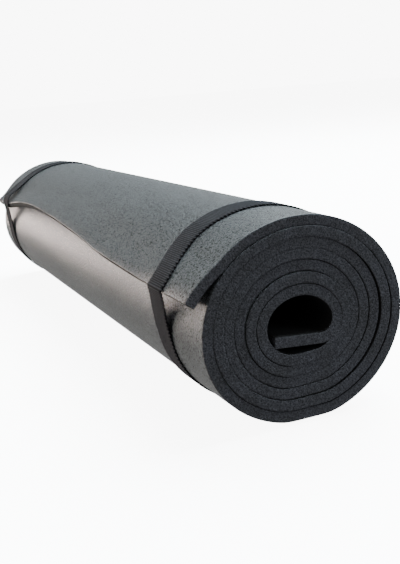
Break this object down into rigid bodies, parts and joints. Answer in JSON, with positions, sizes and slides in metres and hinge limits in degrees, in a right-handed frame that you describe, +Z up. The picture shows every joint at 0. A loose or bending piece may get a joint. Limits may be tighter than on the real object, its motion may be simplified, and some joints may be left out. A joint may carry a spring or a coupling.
{
  "type": "foam sleeping pad",
  "caption": "Closed-cell foam sleeping pad rolled into a spiral and held shut by elastic bands that slide off its ends.",
  "frame": {"origin": "centre of the bounding box at floor level", "axes": "+Z up, +Y along the roll from the end with the near band to the far end, +X to the right of someone looking along +Y"},
  "size_m": [0.1574, 0.6, 0.1367],
  "materials": {
    "grey_foam": "matt, finely pebbled",
    "charcoal_elastic": "matt woven elastic",
    "charcoal_thread": "matt thread"
  },
  "bodies": {
    "pad": {"foam_sheet": "grey_foam"},
    "near_band": {"near_elastic_band": "charcoal_elastic", "near_band_stitching": "charcoal_thread"},
    "far_band": {"far_elastic_band": "charcoal_elastic", "far_band_stitching": "charcoal_thread"}
  },
  "joints": [
    {"name": "near_band_slide", "type": "slide", "parent": "pad", "child": "near_band", "axis": [0, 1, 0], "range_m": [-0.1, 0.1]},
    {"name": "far_band_slide", "type": "slide", "parent": "pad", "child": "far_band", "axis": [0, 1, 0], "range_m": [-0.1, 0.1]}
  ]
}
